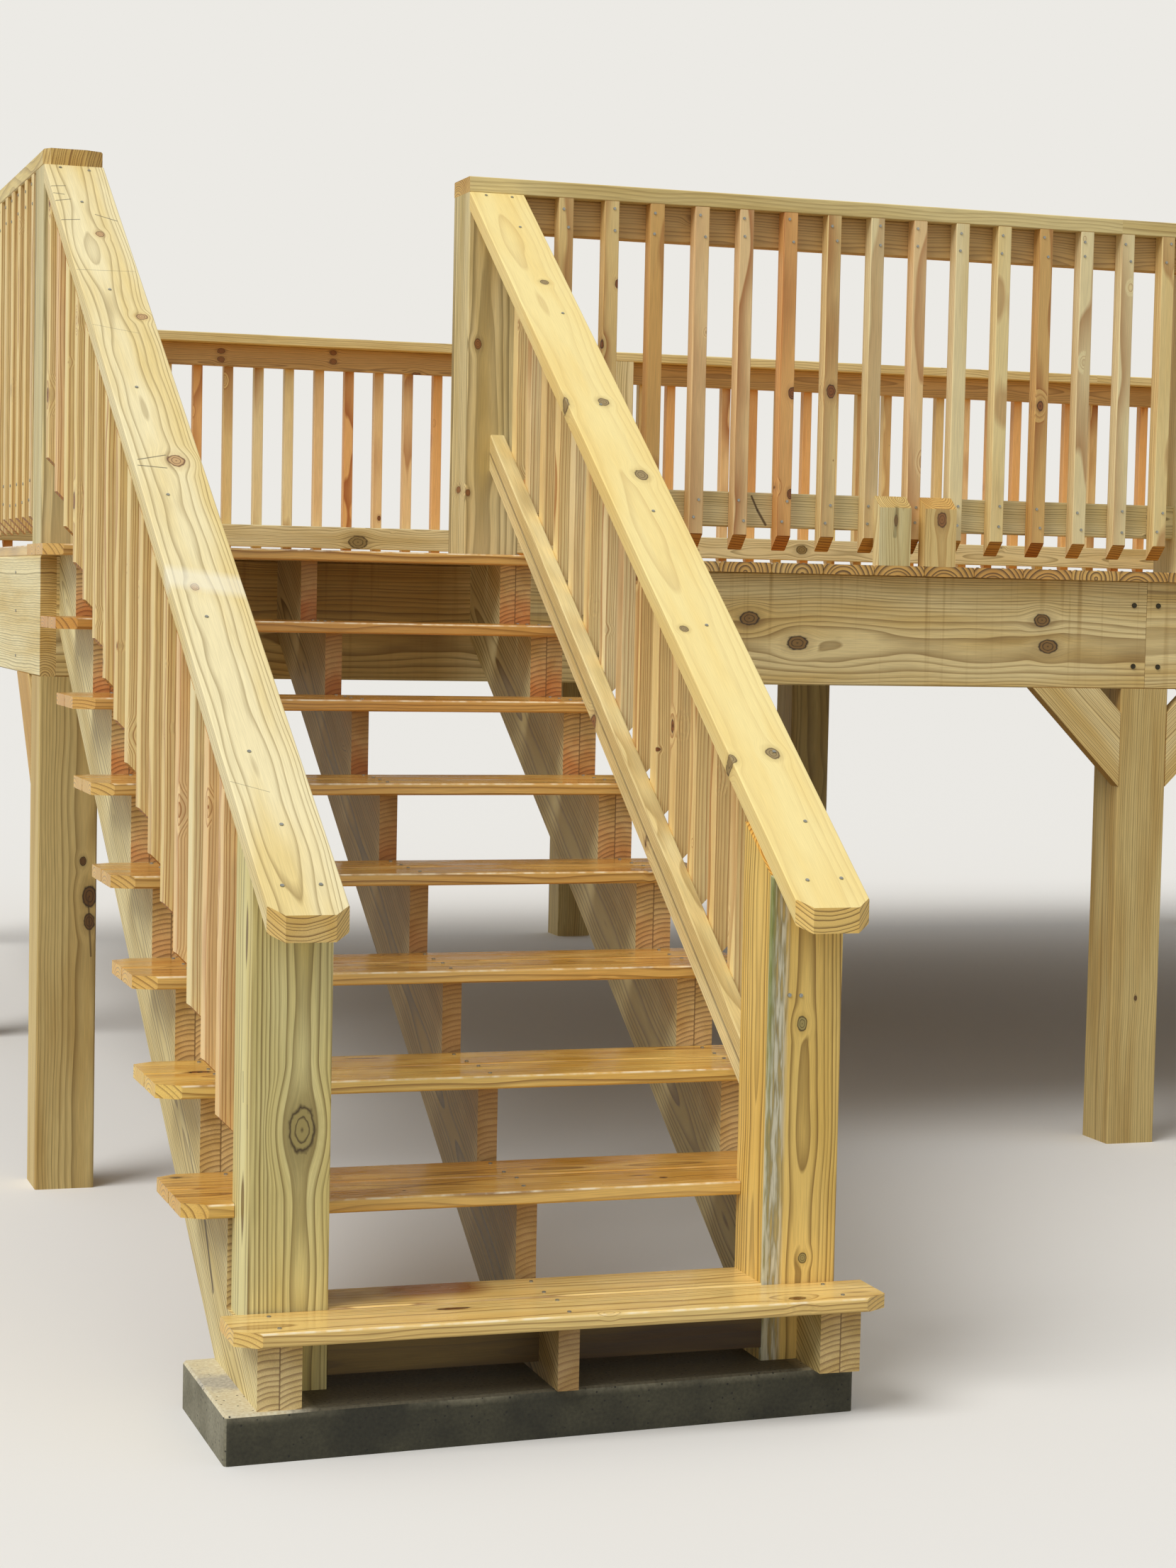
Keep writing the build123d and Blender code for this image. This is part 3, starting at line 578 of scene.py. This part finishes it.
def wetWithPaintedHighlight(space, colour, rough):
    tree, s = space["tree"], rain
    up = add(tree, "SeparateXYZ", [space["normal"]], out="Z")
    top = add(tree, "MapRange", {"Value": up, "From": s["facing"]})
    pools = mottle(tree, space["place"], s["pool"], 2)
    soaked = add(tree, "MapRange", {"Value": pools, "From": s["pools"], "To": s["soaking"]})
    z = add(tree, "SeparateXYZ", [space["place"]], out="Z")
    rained = add(tree, "MapRange", {"Value": z, "From": s["open"], "To": (s["sheltered"], 1)})
    soaked = overlap(tree, soaked, rained, top)
    colour = add(tree, "Mix", [soaked, colour, s["soaked"]], blend_type="MULTIPLY")
    # painted highlight: pale dashes on the eased front arris, strongest on each tread's front board, where
    # the wet edge would reflect the sky
    arris = add(tree, "MapRange", {"Value": up, "From": (0.2, 0.4)})
    flatTop = add(tree, "MapRange", {"Value": up, "From": (0.85, 0.97), "To": (1, 0)})
    highlightShare = mottle(tree, space["place"], s["highlightPatch"], 2)
    highlightShare = add(tree, "MapRange", {"Value": highlightShare, "From": s["highlightRange"], "To": s["highlightShare"]})
    front = add(tree, "SeparateXYZ", [space["point"]], out="X")
    front = add(tree, "MapRange", {"Value": front, "From": s["front"], "To": s["frontHighlight"]})
    arris = overlap(tree, arris, flatTop, highlightShare, front)
    colour = add(tree, "Mix", [arris, colour, s["paintedHighlight"]])
    shine = add(tree, "MapRange", {"Value": pools, "From": s["pools"], "To": s["roughness"]})
    return colour, add(tree, "Mix", [top, rough, shine], data_type="FLOAT")


belowTread = firstTop - 90
treadBoards = pine(
    "wetPineTreads", along=(1, 0, 0), across=(0, 1, 0), flight=(belowTread, rise, run),
    cells=((stepFoot - 2.5, 144.7), (belowTread, rise)), seed=41, pith=(0, -60), pithSpread=(90, 60),
    wander=9, wanderLength=380, ringWidth=8, lateShare=0.25, contrast=0.95, early="#ffdf90", late="#8c5a18",
    cast="#f0cc78", castShare=0.4, end="#fff6d4", fibre=0.16, tintBy=(1, 0),
    tints=("#ffffff", "#f2e8d4", "#ffffee", "#f4ece0", "#e9e0d6", "#efe6dc", "#ebd9c8", "#e3ccb5", "#ede2d8"),
    lines=(stroke("#8e4812", -222, 12, 224, -150, 15, 224, 110),
           stroke("#86602c", -380, -20, 224, -290, -20, 224, 90, 0.6)),
    knots=(knot(-189, -139, 224, 7, 4, 1),), strayKnots=((170, 90, 600), 13, 0.4),
    knotColour="#7c4a1c", knotEdge="#33200e", roughness=0.42, finish=wetWithPaintedHighlight)
dress(treadBoards, *[f"tread_{i}" for i in range(1, steps)], "landing_boards")

# stringers: wide boards sawn to the steps, stained orange by rain above each tread, with a dark seam in pairs
riserStain = {"ragged": 35, "raggedness": 0.6, "colour": "#f0ac7c", "ink": 0.85, "height": (0.35, 0.85),
              "between": (450, 1100), "seam": "#6e5030", "seamAt": 504.9, "seamHalf": 1.3, "seamInk": 0.7}


def stainedRisers(space, colour, rough):
    tree, s = space["tree"], riserStain
    x, y, z = add(tree, "SeparateXYZ", [space["place"]]).node.outputs
    level = add(tree, "Math", [pitches(tree, z, firstTop, rise)], operation="FRACT")
    ragged = add(tree, "TexNoise", {"Vector": space["place"], "Scale": 1 / s["ragged"], "Detail": 2})
    level = add(tree, "Math", [ragged, s["raggedness"], level], operation="MULTIPLY_ADD")
    low = add(tree, "MapRange", {"Value": level, "From": s["height"], "To": (s["ink"], 0)})
    higher = add(tree, "MapRange", {"Value": z, "From": s["between"]})
    front = add(tree, "SeparateXYZ", [space["normal"]], out="Y")
    front = add(tree, "Math", [front, -0.7], operation="LESS_THAN")
    stain = overlap(tree, low, higher, front)
    colour = add(tree, "Mix", [stain, colour, s["colour"]], blend_type="MULTIPLY")
    seam = add(tree, "Math", [x], operation="ABSOLUTE")
    seam = add(tree, "Math", [seam, s["seamAt"], s["seamHalf"]], operation="COMPARE")
    seam = overlap(tree, seam, s["seamInk"])
    return add(tree, "Mix", [seam, colour, s["seam"]]), rough


sawnBoard = {"along": (0, run, rise), "across": (0, -rise, run), "pith": (85, 24), "pithSpread": (50, 30),
             "wander": 14, "wobble": 4, "ringWidth": 8.5, "contrast": 1, "early": "#f4e4aa",
             "late": "#87672e", "cast": "#d3c084", "end": "#fff4ea", "endLate": "#8c6c48",
             "endContrast": 0.8, "strayKnots": ((220, 120, 700), 18, 0.5), "finish": stainedRisers}
leftPlies = pine(
    "treatedPineLeftStringers", **sawnBoard, seed=51, cells=(everyBoard, (-543, 38.1)),
    lines=(split(-543, 262, 315, -543, 176, 202, 12, 0.9), split(-543, 429, 436, -543, 330, 330, 5, 0.7)))
dress(leftPlies, "stringer_left_outer", "stringer_left_inner")
# right stringers: their slightly darker early colour is painted shade, from the shade under the flight
rightPlies = pine("treatedPineRightStringers", **{**sawnBoard, "early": "#ecdaa0"}, seed=54,
                  cells=(everyBoard, (466.8, 38.1)))
dress(rightPlies, "stringer_right_inner", "stringer_right_outer")
# middle stringer: its darker early and late colours are painted shade, from the shade under the treads
dress(pine("treatedPineMiddleStringer", **{**sawnBoard, "early": "#bea676", "late": "#584420"}, seed=52),
      "stringer_middle")
# kicker board: its dark brown wood is painted shade, from the shadow that the first tread casts on it
dress(pine("treatedPineKicker", along=(1, 0, 0), across=(0, 0, 1), seed=53, early="#86703f", late="#54401f",
           cast="#7c6238", castShare=0.9, wander=3, contrast=0.5, pith=(150, 160)), "kicker_board")
print("flight dressed")

# deck frame: wide greenish boards, with drips run down from the deck, and painted shade that darkens them
# between the stringers, where the flight shades them
dripsAndShade = {"size": (22, 22, 700), "range": (0.56, 0.72), "ink": 0.5, "colour": "#b79a62", "from": (1230, 1500),
         "low": 0.25, "shade": "#cfc09c", "shadeInk": 0.8, "behindFlight": (380, 480)}


def dripsAndPaintedShade(space, colour, rough):
    tree, s = space["tree"], dripsAndShade
    x, y, z = add(tree, "SeparateXYZ", [space["place"]]).node.outputs
    stain = mottle(tree, space["place"], s["size"], 2)
    stain = add(tree, "MapRange", {"Value": stain, "From": s["range"], "To": (0, s["ink"])})
    high = add(tree, "MapRange", {"Value": z, "From": s["from"], "To": (s["low"], 1)})
    colour = add(tree, "Mix", [overlap(tree, stain, high), colour, s["colour"]], blend_type="MULTIPLY")
    # painted shade: darker where the flight above shades the rim, between the stringers
    behind = add(tree, "Math", [x], operation="ABSOLUTE")
    behind = add(tree, "MapRange", {"Value": behind, "From": s["behindFlight"], "To": (s["shadeInk"], 0)})
    return add(tree, "Mix", [behind, colour, s["shade"]], blend_type="MULTIPLY"), rough


framing = {"along": (1, 0, 0), "across": (0, 0, 1), "pithSpread": (120, 60), "wander": 8, "wobble": 8,
           "wanderLength": 600, "ringWidth": 5.6, "lateShare": 0.34, "contrast": 0.9, "early": "#fbe4a6",
           "late": "#8a6424", "cast": "#e0c884", "castShare": 0.6, "knotColour": "#8c6a38",
           "knotEdge": "#2e1c0a"}
rims = pine(
    "treatedPineRims", **framing, seed=66, pith=(1375, 70), finish=dripsAndPaintedShade,
    cells=(everyBoard, (-4500, 5000), (-1654, 4000)),
    knots=(knot(1208, 2110, 1396, 17, 1.5), knot(1342, 2110, 1335, 18, 1.6),
           knot(2037, 2110, 1405, 17, 1.4), knot(2056, 2110, 1336, 18, 1.5)))
dress(rims, "rim_beam", "rear_beam")
sideBeams = pine(
    "treatedPineSideBeams", seed=62, pith=(1200, -60), cells=(everyBoard, (-1000, 1000)),
    **{**framing, "along": (0, 1, 0), "early": "#fdefbc", "late": "#8c7a3c", "wander": 4})
dress(sideBeams, "side_beams", "centre_beam")
dress(pine("treatedPineJoists", **framing, seed=63, pith=(1370, 0),
           cells=(everyBoard, (-10000, 412), (-1654, 4000))), "deck_joists")
postWood = pine(
    "treatedPinePosts", cells=bothWays, seed=64, pith=(20, 60), pithSpread=(120, 120), wander=8,
    wobble=6, ringWidth=6, contrast=0.75, early="#e6cc88", late="#86652c", cast="#ccb070", castShare=0.6,
    knotColour="#6b4a22", knotEdge="#2e1d0c", strayKnots=((180, 180, 520), 14, 0.4),
    knots=(knot(-465, 2110, 703, 16, 1.6), knot(-465, 2110, 643, 13, 1.5), knot(-481, 2110, 788, 8)),
    lines=(split(-468, 2110, 700, -460, 2110, 560, 4, 0.7),))
dress(postWood, "front_posts", "back_posts")
braces = pine(
    "treatedPineBraces", seed=65, pith=(900, 50), mirrored=((2347.85, 1545), (2180, 2400)),
    **{**framing, "along": (1, 0, 1), "across": (-1, 0, 1), "pithSpread": (60, 20)})
dress(braces, "knee_braces")

# deck boards: wet on top, with dark arched rings on their ends and a painted highlight on their eased edges,
# faint except at the left end; and the two short blocks on their edge
deckBoards = pine(
    "wetPineDeckBoards", along=(0, 1, 0), cells=((-588, 141.7),), seed=71, pith=(0, -1495),
    pithSpread=(40, 50), ringWidth=11, lateShare=0.4, endContrast=1, endLate="#4a2e12", early="#f8dc9a",
    late="#84602a", end="#fbeace", tints=("#ffffff", "#f8eed8", "#f4e4cc", "#fff8e8"), roughness=0.4,
    finish=wetWithPaintedHighlight)
dress(deckBoards, "deck_boards")
edgeBlocks = pine(
    "treatedPineEdgeBlocks", cells=((1548, 128),), seed=72, pith=(0, 2120), pithSpread=(40, 20),
    contrast=0.7, early="#fbf0c8", tints=("#fbfbea", "#f8e4b8"), tintBy=(0, 0),
    knots=(knot(1724, 2077, 1660, 13, 1.5), knot(1594, 2077, 1655, 5, 3)),
    lines=(stroke("#6c6440", 1596, 2077, 1690, 1592, 2077, 1615, 10, 0.5),))
dress(edgeBlocks, "edge_blocks")
print("deck dressed")

# cast concrete, wet: charcoal front with pits and a dusty arris, paler end, dirt on top by the stringers and
# a darker top between them
footing = {"cloud": 120, "clouds": (0.35, 0.65), "grit": 6, "gritInk": 0.6, "roughness": 0.75, "bump": 0.5,
           "relief": 0.001, "pit": 16, "pitWidth": (0.08, 0.16), "pitColour": "#24231c",
           "front": "#302f24", "frontPale": "#4a4838", "end": "#66624e", "endPale": "#8e8a76",
           "dust": "#a8a28a", "dustInk": 0.6, "arris": (68, 84), "top": "#b2ac9c", "topDirt": "#d4c9a8",
           "dirt": (0.4, 0.55), "topBetweenStringers": "#5a5442", "betweenStringers": (440, 490)}


def castConcrete(name, s):
    material, tree, shader = newMaterial(name)
    place = objectPlace(tree)
    x, y, z = add(tree, "SeparateXYZ", [place]).node.outputs
    normal = add(tree, "SeparateXYZ", [add(tree, "NewGeometry", out="True Normal")]).node.outputs
    cloud = add(tree, "TexNoise", {"Vector": place, "Scale": 1 / s["cloud"], "Detail": 4})
    grains = add(tree, "TexNoise", {"Vector": place, "Scale": 1 / s["grit"], "Detail": 3})
    holes = add(tree, "TexVoronoi", {"Vector": place, "Scale": 1 / s["pit"]})
    holes = add(tree, "MapRange", {"Value": holes, "From": s["pitWidth"]})
    pale = add(tree, "MapRange", {"Value": cloud, "From": s["clouds"]})
    colour = add(tree, "Mix", [pale, s["front"], s["frontPale"]])
    dusty = add(tree, "MapRange", {"Value": z, "From": s["arris"], "To": (0, s["dustInk"])})
    colour = add(tree, "Mix", [overlap(tree, dusty, pale), colour, s["dust"]])
    left = add(tree, "Math", [normal["X"], -0.5], operation="LESS_THAN")
    end = add(tree, "Mix", [pale, s["end"], s["endPale"]])
    colour = add(tree, "Mix", [left, colour, end])
    outside = add(tree, "Math", [x], operation="ABSOLUTE")
    outside = add(tree, "MapRange", {"Value": outside, "From": s["betweenStringers"]})
    dirt = add(tree, "MapRange", {"Value": cloud, "From": s["dirt"]})
    top = add(tree, "Mix", [dirt, s["top"], s["topDirt"]])
    # the top is darker between the stringers, under the flight
    top = add(tree, "Mix", [outside, s["topBetweenStringers"], top])
    up = add(tree, "MapRange", {"Value": normal["Z"], "From": (0.3, 0.7)})
    colour = add(tree, "Mix", [up, colour, top])
    colour = add(tree, "Mix", [s["gritInk"], colour, grains], blend_type="OVERLAY")
    colour = add(tree, "Mix", [holes, s["pitColour"], colour])
    height = add(tree, "Math", [holes, 1, grains], operation="MULTIPLY_ADD")
    bump = add(tree, "Bump", {"Strength": s["bump"], "Distance": s["relief"], "Height": height})
    feed(shader, {"Base Color": colour, "Normal": bump, "Roughness": s["roughness"]})
    return material


dress(castConcrete("castConcrete", footing), "concrete_footing")
print("footing dressed")


# hot-dip galvanised steel: grey zinc, dull and faintly mottled; the screws' coating is near black
def galvanised(name, s):
    material, tree, shader = newMaterial(name)
    spangle = add(tree, "TexNoise", {"Vector": objectPlace(tree), "Scale": 1 / s["spangle"], "Detail": 1})
    colour = add(tree, "Mix", [spangle, s["dark"], s["pale"]])
    feed(shader, {"Base Color": colour, "Metallic": s["metallic"], "Roughness": s["roughness"]})
    return material


plated = {"spangle": 5, "dark": "#7b7c76", "pale": "#b9bab2", "metallic": 0.9, "roughness": 0.45}
zinc = galvanised("galvanisedSteel", plated)
darkZinc = galvanised("coatedSteelScrews", {**plated, "dark": "#2e2a20", "pale": "#4c4636", "roughness": 0.5})

# heads of nails and screws, in mm: a disc with a raised rim, on the end of its shank that is left in the wood
nail = {"across": 7.6, "stands": 0.7, "sunk": 3, "sides": 8, "rim": 1.4, "dish": 0.3}
screw = {"across": 14, "stands": 1.2, "sunk": 3, "sides": 12, "rim": 2.5, "dish": 0.8}


def modelHead(s):
    bpy.ops.object.select_all(action="DESELECT")
    bpy.ops.mesh.primitive_cylinder_add(vertices=s["sides"], radius=s["across"] / 2 * mm,
                                        depth=s["sunk"] * mm, location=(0, 0, -s["sunk"] / 2 * mm))
    head = bpy.context.object
    for polygon in head.data.polygons:
        polygon.select = polygon.normal.z > 0.9
    bpy.ops.object.mode_set(mode="EDIT")
    bpy.ops.mesh.select_mode(type="FACE")
    bpy.ops.mesh.extrude_region_move(TRANSFORM_OT_translate={"value": (0, 0, s["stands"] * mm)})
    bpy.ops.mesh.inset(thickness=s["rim"] * 0.4 * mm, depth=0)
    bpy.ops.mesh.inset(thickness=s["rim"] * 0.6 * mm, depth=-s["dish"] * mm)
    bpy.ops.object.mode_set(mode="OBJECT")
    return head


# copies of a head at the given places, each with the direction that it faces, as one piece
def drive(name, head, spots, metal):
    copies = []
    for place, facing in spots:
        copy = head.copy()
        copy.data = head.data.copy()
        bpy.context.scene.collection.objects.link(copy)
        turn = Vector(facing).to_track_quat("Z", "Y").to_matrix()
        copy.matrix_world = Matrix.Translation(Vector(place) * mm) @ turn.to_4x4()
        copies.append(copy)
    bpy.ops.object.select_all(action="DESELECT")
    for copy in copies:
        copy.select_set(True)
    bpy.context.view_layer.objects.active = copies[0]
    bpy.ops.object.join()
    bpy.ops.object.transform_apply(location=True, rotation=True, scale=True)
    piece = bpy.context.object
    piece.name = name
    piece.data.materials.append(metal)
    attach(piece, "root")


# lowest and highest corner of each solid in one of the frame's pieces, in mm
def solidBoxes(name):
    mesh = nodes[name].data
    owner = {}

    def root(key):
        while owner[key] != key:
            owner[key] = owner[owner[key]]
            key = owner[key]
        return key

    keys = [tuple(round(c / mm, 1) for c in vertex.co) for vertex in mesh.vertices]
    for key in keys:
        owner.setdefault(key, key)
    for polygon in mesh.polygons:
        first, *others = [keys[i] for i in polygon.vertices]
        for other in others:
            owner[root(other)] = root(first)
    groups = {}
    for key in owner:
        groups.setdefault(root(key), []).append(key)
    return sorted((tuple(map(min, zip(*group))), tuple(map(max, zip(*group)))) for group in groups.values())


nailHead, screwHead = modelHead(nail), modelHead(screw)
dice = random.Random(7)
outLeft, outBack, outFront, upwards = (-1, 0, 0), (0, 1, 0), (0, -1, 0), (0, 0, 1)


def jitter(reach):
    return dice.uniform(-reach, reach)


# balusters of the level railing: two nails into the top rail and two into the lower one, from outside
balusterNails = {"topRail": (2357, 2404), "lowRail": (1646, 1695), "rearLower": 17, "stray": 6,
                 "slip": (5, 9)}


def nailBalusters(s, side, facing):
    spots = []
    for low, high in solidBoxes(f"deck_balusters_{side}"):
        x, y = (low[0] + high[0]) / 2, (low[1] + high[1]) / 2
        for z in s["topRail"] + s["lowRail"]:
            z = z + jitter(s["stray"]) - (s["rearLower"] if side == "rear" and z in s["lowRail"] else 0)
            slip = dice.uniform(*s["slip"]) * dice.choice((1, -1))
            place = {"front": (x + slip, low[1], z), "rear": (x + slip, high[1], z),
                     "left": (low[0], y + slip, z)}
            spots.append((place[side], facing))
    drive(f"nails_balusters_{side}", nailHead, spots, zinc)


nailBalusters(balusterNails, "front", outFront)
nailBalusters(balusterNails, "rear", outBack)
nailBalusters(balusterNails, "left", outLeft)

# treads and landing: each board nailed to each stringer, clear of the newels and of the rim
treadNails = {"stringers": (-505, 0, 505), "rows": (30, 112, 174, 256), "stray": (5, 4),
              "lastByNewels": 130, "clearNewels": 14, "clearRim": 7}


def nailTreads(s):
    spots = []
    for step in range(steps):
        for x in s["stringers"]:
            for y in s["rows"]:
                if step == 0 and x != 0 and y > s["lastByNewels"]:
                    continue
                if step == 1 and y == s["rows"][0]:
                    y += s["clearNewels"]
                if step == steps - 1:
                    y -= s["clearRim"]
                place = (x + jitter(s["stray"][0]), stepFoot + step * run + y + jitter(s["stray"][1]))
                spots.append(((*place, min(firstTop + step * rise, deckTop)), upwards))
    drive("nails_treads", nailHead, spots, zinc)


nailTreads(treadNails)

# deck boards: two nails at each beam and joist
deckNails = {"boards": 43, "left": -588, "pitch": 141.7, "across": (32, 106), "right": 5490, "stray": (4, 5)}
firstBeam, joistPitch, rearBeam = 2129, 412, 7071
beamRows = [firstBeam + k * joistPitch for k in range(12)] + [rearBeam]


def nailDeckBoards(s):
    spots = []
    for board in range(s["boards"]):
        for y in beamRows:
            for x in s["across"]:
                x += s["left"] + board * s["pitch"]
                if x < s["right"]:
                    spots.append(((x + jitter(s["stray"][0]), y + jitter(s["stray"][1]), deckTop), upwards))
    drive("nails_deck_boards", nailHead, spots, zinc)


nailDeckBoards(deckNails)

# rim: four structural screws beside its joint
rimScrews = {"face": 2110, "places": ((2308, 1449), (2310, 1287), (2380, 1449), (2384, 1286))}
spots = [((x, rimScrews["face"], z), outFront) for x, z in rimScrews["places"]]
drive("screws_rim", screwHead, spots, darkZinc)

# left side beam: three nails at each joist; right foot newel: two nails in its front
frameNails = {"beamFace": -588, "heights": (1262, 1370, 1478), "stray": (6, 8), "newelFace": -92.8,
              "newelPlaces": ((436, 744), (458, 743))}


def nailFrame(s):
    spots = [((s["beamFace"], y + jitter(s["stray"][0]), z + jitter(s["stray"][1])), outLeft)
             for y in beamRows[1:-1] for z in s["heights"]]
    spots += [((x, s["newelFace"], z), outFront) for x, z in s["newelPlaces"]]
    drive("nails_frame", nailHead, spots, zinc)


nailFrame(frameNails)

# raked caps: pairs into the newels, single ones into the rails
capNails = {"newels": (-160, 2097), "rails": (-20, 160, 520, 880, 1240, 1600, 1960), "pair": (38, 104),
            "single": (72, 92), "stray": 6, "foot": -223, "inner": 397.8, "top": 914,
            "facing": (0, -0.543, 0.84)}


def nailCaps(s):
    spots = []
    for side in (-1, 1):
        for y in sorted(s["newels"] + s["rails"]):
            for x in s["pair"] if y in s["newels"] else (dice.uniform(*s["single"]),):
                x += s["inner"] + spread * (y - s["foot"])
                at = y + jitter(s["stray"])
                spots.append(((side * x, at, s["top"] + slope * (at - s["foot"])), s["facing"]))
    drive("nails_stair_caps", nailHead, spots, zinc)


nailCaps(capNails)
bpy.data.objects.remove(nailHead)
bpy.data.objects.remove(screwHead)
print("nails driven")
